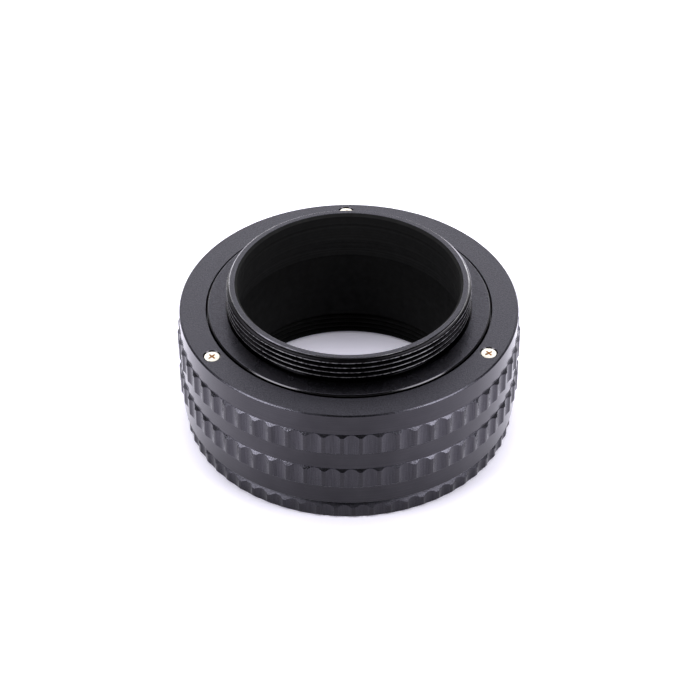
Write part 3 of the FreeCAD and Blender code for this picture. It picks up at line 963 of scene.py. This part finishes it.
def key_seats():
    """Cutters for the pockets of the guide keys and for the holes of their screws."""
    cutters = []
    seat = GUIDE_TUBE_RADIUS - KEY_POCKET_DEPTH
    for azimuth in KEY_AZIMUTHS:
        cutters.append(radial_block("key_pocket", KEY_WIDTH + 2 * KEY_FIT, seat, seat + KEY_POCKET_REACH,
                                    key_bottom - KEY_FIT, key_bottom + KEY_LENGTH + KEY_FIT, azimuth))
        turn = Matrix.Rotation(math.radians(azimuth), 4, "Z") @ Matrix.Rotation(math.radians(90), 4, "Y")
        for side in (-1, 1):
            height = key_bottom + KEY_LENGTH / 2 + side * KEY_SCREW_SPACING / 2
            hole = rod("key_screw_hole", SCREW_SHANK_RADIUS, seat - KEY_SCREW_REACH, seat + LONG_SPARE)
            hole.data.transform(Matrix.Translation((0, 0, height * MM)) @ turn)
            cutters.append(hole)
    return cutters


def camera_barrel():
    """Threaded nose, flange, shoulder and guide tube, turned from one piece."""
    root_radius = thread_radius - THREAD_DEPTH
    rim_inner = thread_radius - NOSE_CHAMFER - NOSE_RIM_WIDTH
    bore_mouth = nose_top - NOSE_BORE_CHAMFER
    relief_radius = root_radius - THREAD_RELIEF_DEPTH
    relief_top = flange_top + THREAD_RELIEF_HEIGHT
    flange_inner = thread_radius + FLANGE_RELIEF_MARGIN
    bore = [(rim_inner - NOSE_BORE_CHAMFER, bore_mouth, FINE_EASE)]
    for drop in BORE_STEP_DROPS:
        radius, height = bore[-1][:2]
        bore.append((radius, height - drop, SMALL_EASE))
        bore.append((radius + BORE_STEP_GROWTH, height - drop, SMALL_EASE))
    barrel = turned("threaded_camera_barrel", [
        (bore[-1][0], guide_tube_bottom, FINE_EASE),
        (GUIDE_TUBE_RADIUS, guide_tube_bottom, FINE_EASE),
        (GUIDE_TUBE_RADIUS, SHOULDER_BOTTOM, 0),
        (shoulder_radius, SHOULDER_BOTTOM, FINE_EASE),
        (shoulder_radius, SHOULDER_TOP, FINE_EASE),
        (FLANGE_RADIUS, SHOULDER_TOP, 0),
        (FLANGE_RADIUS, flange_top - FLANGE_CHAMFER, FINE_EASE),
        (FLANGE_RADIUS - FLANGE_CHAMFER, flange_top, FINE_EASE),
        (flange_inner, flange_top, FINE_EASE),
        (flange_inner, flange_top - FLANGE_RELIEF_DEPTH, 0),
        (relief_radius, flange_top - FLANGE_RELIEF_DEPTH, 0),
        (relief_radius, relief_top - THREAD_RELIEF_SLOPE, FINE_EASE),
        (root_radius, relief_top, FINE_EASE),
        (root_radius, nose_top, FINE_EASE),
        (rim_inner, nose_top, FINE_EASE),
        *bore,
    ])

    def on_rim(face):
        return face.material_index == 0 and place_of(face)[1] > bore_mouth

    def on_flange(face):
        return face.normal.z > FLAT_LIMIT and abs(place_of(face)[1] - flange_top) < FACE_MARGIN

    barrel.data.materials.append(turned_black)
    coat_bore_paint_and_shade(barrel.data, bore[-1][0] + BORE_PAINT_MARGIN, nose_top - FINE_EASE)
    coat(barrel.data, satin_black, on_rim)
    coat(barrel.data, fine_satin_black, on_flange)
    ridges = thread_ridges("camera_thread", THREAD_PITCH, CAMERA_THREAD_FORM, {
        "Start Height": FRONT_CREST_HEIGHT - CRESTS_BELOW * THREAD_PITCH,
        "Root Radius": root_radius - ROOT_SINK, "Crest Radius": thread_radius,
        "Chamfer Bottom": relief_top, "Chamfer Top": nose_top - NOSE_CHAMFER,
        "Lowest": flange_top + THREAD_FOOT_GAP, "Highest": nose_top - THREAD_END_GAP, "Finish": thread_rub_and_highlight})
    combine(barrel, [ridges], "UNION")
    combine(barrel, [stop_groove(), *key_seats()], "DIFFERENCE")
    finished(barrel, "camera_side", ["camera_barrel"])


def lens_barrel():
    """Fluted base ring with the threaded hole, and the slotted tube with the helicoid's outer thread."""
    barrel = fluted_piece("lens_barrel_with_helicoid", base_outline, base_radius, BASE_FLUTE_DEPTH,
                          BASE_FLUTE_AZIMUTH, [(stand_height, base_height)], satin_black)
    root_radius = helicoid_radius - HELICOID_DEPTH
    tube = turned("helicoid_tube", [
        (thread_radius, TUBE_FOOT_HEIGHT, 0),
        (root_radius, TUBE_FOOT_HEIGHT, 0),
        (root_radius, lens_tube_top, EDGE_BREAK),
        (GUIDE_BORE_RADIUS, lens_tube_top, EDGE_BREAK),
        (GUIDE_BORE_RADIUS, lens_thread_top, 0),
        (thread_radius, lens_thread_top, FINE_EASE),
    ])
    tube.data.materials.append(turned_black)
    outer = thread_ridges("helicoid_thread", HELICOID_LEAD, HELICOID_FORM, {
        "Root Radius": root_radius - HELICOID_ROOT_SINK, "Crest Radius": helicoid_radius,
        "Chamfer Top": lens_tube_top - HELICOID_CHAMFER, "Highest": lens_tube_top - HELICOID_END_GAP,
        "Finish": turned_black})
    inner = thread_ridges("lens_thread", THREAD_PITCH, LENS_THREAD_FORM, {
        "Root Radius": thread_radius + ROOT_SINK, "Crest Radius": lens_thread_radius,
        "Chamfer Top": lens_thread_top - LENS_THREAD_END_CHAMFER, "Lowest": stand_height + THREAD_END_GAP,
        "Highest": lens_thread_top - THREAD_END_GAP, "Finish": turned_black})
    combine(barrel, [tube, outer, inner], "UNION")
    slots = [radial_block("key_slot", KEY_SLOT_WIDTH, GUIDE_BORE_RADIUS - LONG_SPARE, KEY_SLOT_DISTANCE,
                          lens_thread_top, lens_tube_top + LONG_SPARE, azimuth) for azimuth in KEY_AZIMUTHS]
    combine(barrel, slots, "DIFFERENCE")
    # Painted shade: the lens thread and the wall below its top are given the flat black bore paint so that
    # they read dark
    coat_bore_paint_and_shade(barrel.data, thread_radius + LENS_PAINTED_SHADE_MARGIN, lens_thread_top + LENS_PAINTED_SHADE_RISE)
    finished(barrel, "lens_side", ["lens_barrel"])


focus_grip()
retaining_plate()
plate_screws()
camera_barrel()
lens_barrel()

# Inner pieces that keep their solids
for name, node in frame["nodes"].items():
    if name.startswith("guide_key") or name.endswith("_shim"):
        finish = brass
    elif name.endswith("_screw") or name.startswith("plate_screw") or name == "stop_pin":
        finish = nickel
    else:
        finish = turned_black
    node.data.materials.clear()
    node.data.materials.append(finish)


# Studio

def softbox(name, azimuth, elevation, distance, width, height, brightness):
    """A rectangular lamp that faces the part; its power follows from the brightness of its face."""
    lamp = bpy.data.lights.new(name, "AREA")
    lamp.shape = "RECTANGLE"
    lamp.size = width
    lamp.size_y = height
    lamp.energy = 4 * brightness * width * height
    turn, rise = math.radians(azimuth), math.radians(elevation)
    towards = Vector((math.cos(turn) * math.cos(rise), math.sin(turn) * math.cos(rise), math.sin(rise)))
    made = new_object(name, lamp)
    made.location = towards * distance
    made.rotation_euler = towards.to_track_quat("Z", "Y").to_euler()
    made.visible_camera = False


def studio_floor():
    """A wide white floor just under the part."""
    level = (stand_height - FLOOR_DROP) * MM
    around = [(-1, -1), (1, -1), (1, 1), (-1, 1)]
    mesh = bpy.data.meshes.new("white_sweep")
    mesh.from_pydata([(x * FLOOR_REACH, y * FLOOR_REACH, level) for x, y in around], [], [(0, 1, 2, 3)])
    mesh.materials.append(matte_white_sweep())
    return new_object("white_sweep", mesh)


def studio_world():
    """A dim room with a white sweep that rises a little all round the floor."""
    world = bpy.data.worlds.new("studio")
    world.use_nodes = True
    tree = world.node_tree
    tree.nodes.clear()
    look = add(tree, "ShaderNodeTexCoord").outputs["Generated"]
    up = add(tree, "ShaderNodeSeparateXYZ", {"Vector": look}).outputs["Z"]
    low, high = [math.sin(math.radians(angle)) for angle in SWEEP_RISE]
    level = add(tree, "ShaderNodeMapRange", {
        "Value": up, "From Min": low, "From Max": high, "To Min": 1.0, "To Max": ROOM_LIGHT})
    background = add(tree, "ShaderNodeBackground", {
        "Color": linear("#ffffff"), "Strength": level.outputs["Result"]})
    add(tree, "ShaderNodeOutputWorld", {"Surface": background.outputs[0]})
    bpy.context.scene.world = world


def photo_camera():
    """The photograph's view: from the front, looking down on the camera side."""
    data = bpy.data.cameras.new("photo_camera")
    data.sensor_width = 36.0
    data.lens = CAMERA_LENS
    data.shift_x, data.shift_y = CAMERA_SHIFT
    data.clip_start = 0.01
    rise = math.radians(CAMERA_ELEVATION)
    height = CAMERA_TARGET_HEIGHT + CAMERA_DISTANCE * math.sin(rise)
    made = new_object("photo_camera", data)
    made.location = Vector((0, -CAMERA_DISTANCE * math.cos(rise), height)) * MM
    made.rotation_euler = (math.radians(90) - rise, 0, 0)
    bpy.context.scene.camera = made


studio_floor()
studio_world()
for name, lamp_sizes in SOFTBOXES.items():
    softbox(name, *lamp_sizes)
photo_camera()
bpy.context.scene.view_settings.view_transform = "Standard"
